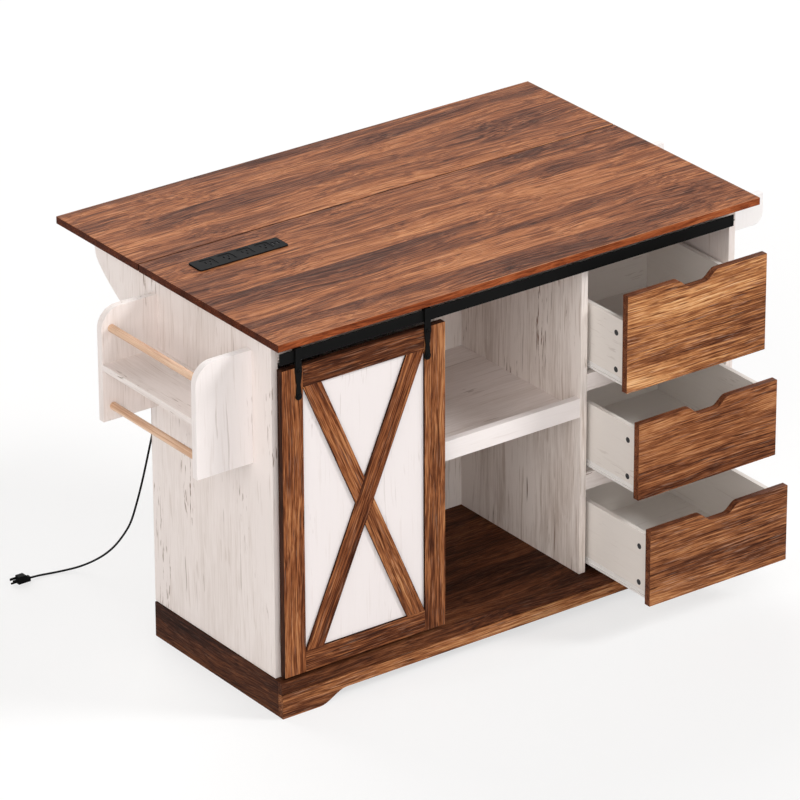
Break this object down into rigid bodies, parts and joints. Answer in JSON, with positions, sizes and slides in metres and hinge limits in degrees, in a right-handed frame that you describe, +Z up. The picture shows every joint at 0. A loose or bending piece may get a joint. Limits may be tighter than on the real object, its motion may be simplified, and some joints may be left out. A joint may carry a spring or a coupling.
{
  "type": "kitchen island unit",
  "caption": "Free-standing kitchen island cabinet: worktop with inset power strip, drop leaf on folding supports, sliding cross-braced door, open shelf, notched drawers, racks on both ends.",
  "frame": {"origin": "on the floor, under the middle of the unit's own box as stored, its cord and plug left out", "axes": "+X to the right seen from the front, along the worktop's length; +Y to the back, towards the drop leaf; +Z up; door and drawers face -Y"},
  "size_m": [1.595, 1.124, 0.923],
  "materials": {
    "walnut_top": "satin laminate with long walnut grain",
    "walnut_dark": "satin, darker walnut grain",
    "walnut_front": "satin walnut grain with tan streaks",
    "white_wood": "matt distressed white wood with faint cracks and knots",
    "white_panel": "matt, near white",
    "drawer_white": "matt white board",
    "back_board": "plain matt grey hardboard",
    "black_steel": "satin black powder coat",
    "white_steel": "white powder coat",
    "beech": "smooth turned beech",
    "nylon": "smooth nylon",
    "black_plastic": "fine moulded texture",
    "cord_jacket": "smooth jacket",
    "bright_steel": "plated screws and blades",
    "grey_plastic": "screw caps"
  },
  "bodies": {
    "cabinet": {"plinth_front": "walnut_front", "plinth_left": "walnut_dark", "plinth_right": "walnut_dark", "plinth_back": "walnut_dark", "floor_board": "walnut_dark", "side_panel_left": "white_wood", "side_panel_right": "white_wood", "middle_divider": "white_wood", "drawer_divider": "white_wood", "front_stretcher": "white_wood", "back_panel": "back_board", "shelf_left": "white_wood", "shelf_right": "white_wood", "shelf_right_lip": "white_wood", "worktop": "walnut_top", "leaf_hinge_left": "black_steel", "leaf_hinge_right": "black_steel", "door_rail": "black_steel", "roller_track": "black_steel", "drawer_rail_lower": "white_wood", "drawer_rail_upper": "white_wood", "drawer1_runner_left": "white_steel", "drawer1_runner_right": "white_steel", "drawer2_runner_left": "white_steel", "drawer2_runner_right": "white_steel", "drawer3_runner_left": "white_steel", "drawer3_runner_right": "white_steel", "spice_rack_front_panel": "white_wood", "spice_rack_rear_panel": "white_wood", "spice_rack_shelf": "white_wood", "spice_rack_guard_rail": "beech", "spice_rack_towel_bar": "beech", "towel_rack_front_panel": "white_wood", "towel_rack_rear_panel": "white_wood", "towel_rack_bar": "beech", "power_strip": "black_plastic", "cord_relief": "black_plastic", "power_cord": "cord_jacket", "power_plug": "black_plastic"},
    "leaf": {"drop_leaf": "walnut_top"},
    "support_left": {"leaf_support_left": "white_wood"},
    "support_right": {"leaf_support_right": "white_wood"},
    "door": {"door_stile_left": "walnut_front", "door_stile_right": "walnut_front", "door_top_rail": "walnut_front", "door_bottom_rail": "walnut_front", "door_panel": "white_panel", "door_brace_rising": "walnut_front", "door_brace_falling_upper": "walnut_front", "door_brace_falling_lower": "walnut_front", "door_hanger_left": "black_steel", "door_hanger_right": "black_steel"},
    "roller_left": {"door_roller_left": "nylon"},
    "roller_right": {"door_roller_right": "nylon"},
    "drawer1": {"drawer1_front": "walnut_front", "drawer1_box": "drawer_white"},
    "drawer2": {"drawer2_front": "walnut_front", "drawer2_box": "drawer_white"},
    "drawer3": {"drawer3_front": "walnut_front", "drawer3_box": "drawer_white"}
  },
  "joints": [
    {"name": "leaf_hinge", "type": "hinge", "parent": "cabinet", "child": "leaf", "pos_m": [0.0235, 0.2045, 0.8992], "axis": [1, 0, 0], "range_deg": [0, 6]},
    {"name": "support_left_fold", "type": "hinge", "parent": "cabinet", "child": "support_left", "pos_m": [-0.6295, 0.1735, 0.818], "axis": [0, 0, -1], "range_deg": [0, 90]},
    {"name": "support_right_fold", "type": "hinge", "parent": "cabinet", "child": "support_right", "pos_m": [0.6365, 0.1735, 0.818], "axis": [0, 0, 1], "range_deg": [0, 90]},
    {"name": "door_slide", "type": "slide", "parent": "cabinet", "child": "door", "axis": [1, 0, 0], "range_m": [0, 0.418]},
    {"name": "roller_left_turn", "type": "hinge", "parent": "door", "child": "roller_left", "pos_m": [-0.5955, -0.318, 0.8772], "axis": [0, 1, 0], "range_deg": [0, 2530]},
    {"name": "roller_right_turn", "type": "hinge", "parent": "door", "child": "roller_right", "pos_m": [-0.2455, -0.318, 0.8772], "axis": [0, 1, 0], "range_deg": [0, 2530]},
    {"name": "drawer1_slide", "type": "slide", "parent": "cabinet", "child": "drawer1", "axis": [0, -1, 0], "range_m": [-0.141, 0.159]},
    {"name": "drawer2_slide", "type": "slide", "parent": "cabinet", "child": "drawer2", "axis": [0, -1, 0], "range_m": [-0.188, 0.112]},
    {"name": "drawer3_slide", "type": "slide", "parent": "cabinet", "child": "drawer3", "axis": [0, -1, 0], "range_m": [-0.235, 0.065]}
  ],
  "couplings": [
    {"joint": "roller_left_turn", "follows": "door_slide", "rad_per_m": 105.26},
    {"joint": "roller_right_turn", "follows": "door_slide", "rad_per_m": 105.26}
  ]
}
